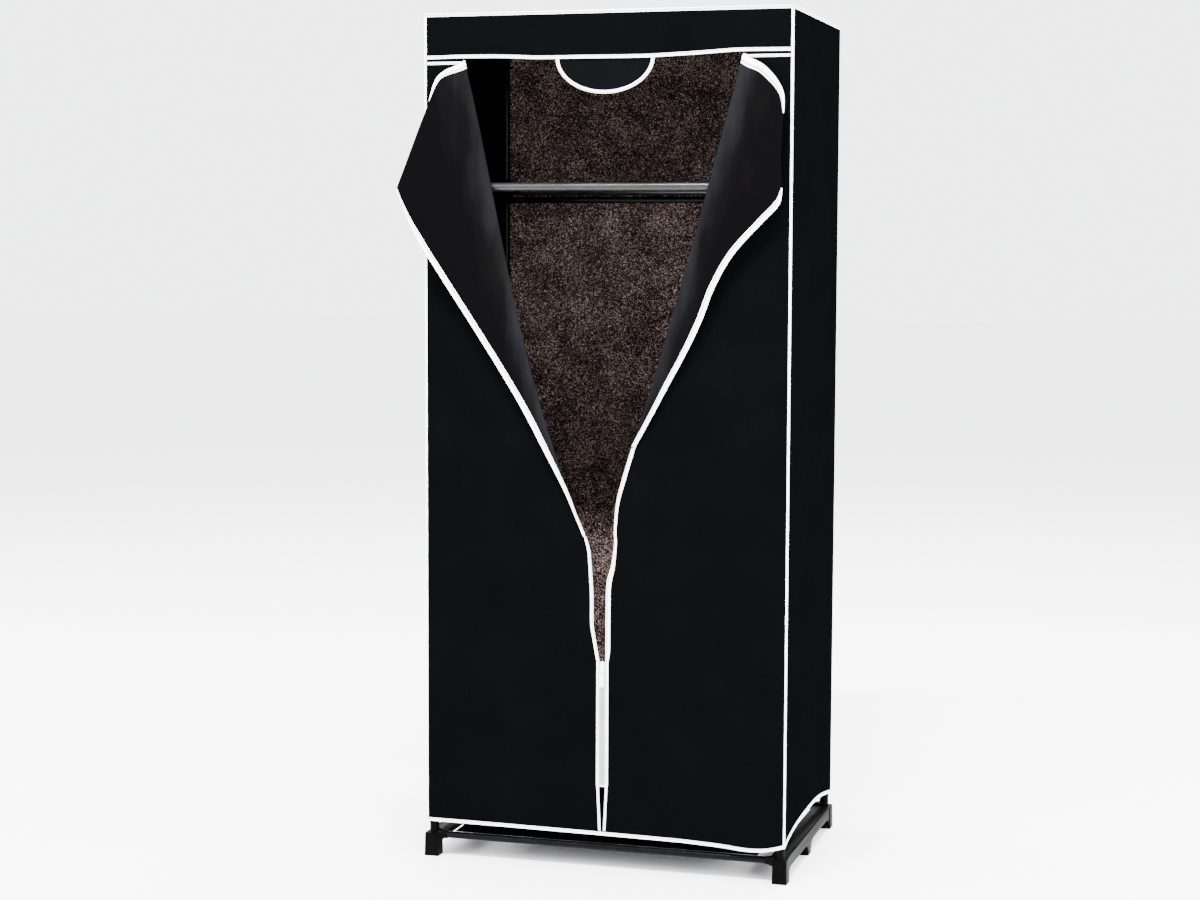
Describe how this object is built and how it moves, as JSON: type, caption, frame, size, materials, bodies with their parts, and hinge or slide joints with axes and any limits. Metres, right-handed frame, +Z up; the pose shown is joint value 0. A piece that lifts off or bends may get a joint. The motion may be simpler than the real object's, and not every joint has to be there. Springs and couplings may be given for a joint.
{
  "type": "portable fabric wardrobe",
  "caption": "Knock-down wardrobe: tube frame with shelf and hanging rail in a zipped black cloth cover with white bindings, doors folded back at the top",
  "frame": {"origin": "on the floor under the middle of the part's bounding box, the folded-back flaps included", "axes": "+X to the right and +Y to the back as seen from the front, +Z up"},
  "size_m": [0.751, 0.4882, 1.6],
  "materials": {
    "frame_tube": "black powder coat, smooth and slightly glossy",
    "fitting_plastic": "moulded black plastic, satin",
    "cover_cloth": "black non-woven cloth, fine dimples",
    "flap_lining": "inner side of the black cloth, dull and fibrous",
    "back_cloth": "dark grey-brown felted cloth",
    "shelf_cloth": "dark grey cloth with a light sheen",
    "binding_white": "white woven bias tape, stitched",
    "zip_plastic": "white moulded zip teeth, slider and pull"
  },
  "bodies": {
    "frame_and_cover": {"side_base_right": "fitting_plastic", "side_base_left": "fitting_plastic", "upright_lower_back_right": "frame_tube", "upright_middle_back_right": "frame_tube", "upright_upper_back_right": "frame_tube", "upright_lower_back_left": "frame_tube", "upright_middle_back_left": "frame_tube", "upright_upper_back_left": "frame_tube", "upright_lower_front_left": "frame_tube", "upright_middle_front_left": "frame_tube", "upright_upper_front_left": "frame_tube", "upright_lower_front_right": "frame_tube", "upright_middle_front_right": "frame_tube", "upright_upper_front_right": "frame_tube", "bottom_rail_front": "frame_tube", "bottom_rail_back": "frame_tube", "shelf_rail_front": "frame_tube", "shelf_rail_back": "frame_tube", "top_rail_front": "frame_tube", "top_rail_back": "frame_tube", "shelf_side_rail_left": "frame_tube", "shelf_side_rail_right": "frame_tube", "top_side_rail_left": "frame_tube", "top_side_rail_right": "frame_tube", "shelf_fitting_back_right": "fitting_plastic", "top_fitting_back_right": "fitting_plastic", "shelf_fitting_back_left": "fitting_plastic", "top_fitting_back_left": "fitting_plastic", "shelf_fitting_front_left": "fitting_plastic", "top_fitting_front_left": "fitting_plastic", "shelf_fitting_front_right": "fitting_plastic", "top_fitting_front_right": "fitting_plastic", "hanging_bracket_right": "fitting_plastic", "hanging_bracket_left": "fitting_plastic", "hanging_rail": "frame_tube", "shelf_cloth": "shelf_cloth", "floor_panel": "cover_cloth", "cover_top": "cover_cloth", "cover_back": "back_cloth", "cover_valance": "cover_cloth", "cover_right_side": "cover_cloth", "cover_left_side": "cover_cloth", "door_left": "cover_cloth", "zip_edge_left": "binding_white", "door_right": "cover_cloth", "zip_edge_right": "binding_white", "half_moon_flap": "flap_lining", "half_moon_binding": "binding_white", "hem_binding": "binding_white", "top_binding": "binding_white", "corner_binding_left": "binding_white", "corner_binding_right": "binding_white", "valance_binding": "binding_white", "zip_chain": "zip_plastic"},
    "flap_left": {"flap_left": "flap_lining", "flap_binding_left": "binding_white"},
    "flap_right": {"flap_right": "flap_lining", "flap_binding_right": "binding_white"},
    "zip_slider": {"zip_slider": "zip_plastic"},
    "pull_tab": {"pull_tab": "zip_plastic"}
  },
  "joints": [
    {"name": "flap_left_fold", "type": "hinge", "parent": "frame_and_cover", "child": "flap_left", "pos_m": [-0.13003, -0.2104, 1.06725], "axis": [-0.2709, 0, 0.9626], "range_deg": [0, 100]},
    {"name": "flap_right_fold", "type": "hinge", "parent": "frame_and_cover", "child": "flap_right", "pos_m": [0.17747, -0.2104, 1.15125], "axis": [-0.2889, 0, -0.9574], "range_deg": [0, 100]},
    {"name": "zip_run", "type": "slide", "parent": "frame_and_cover", "child": "zip_slider", "axis": [0, 0, 1], "range_m": [-0.2, 0.2], "deforming": ["zip_chain"]},
    {"name": "pull_tab_pin", "type": "hinge", "parent": "zip_slider", "child": "pull_tab", "pos_m": [0.02047, -0.2143, 0.3792], "axis": [-1, 0, 0], "range_deg": [0, 140]}
  ]
}
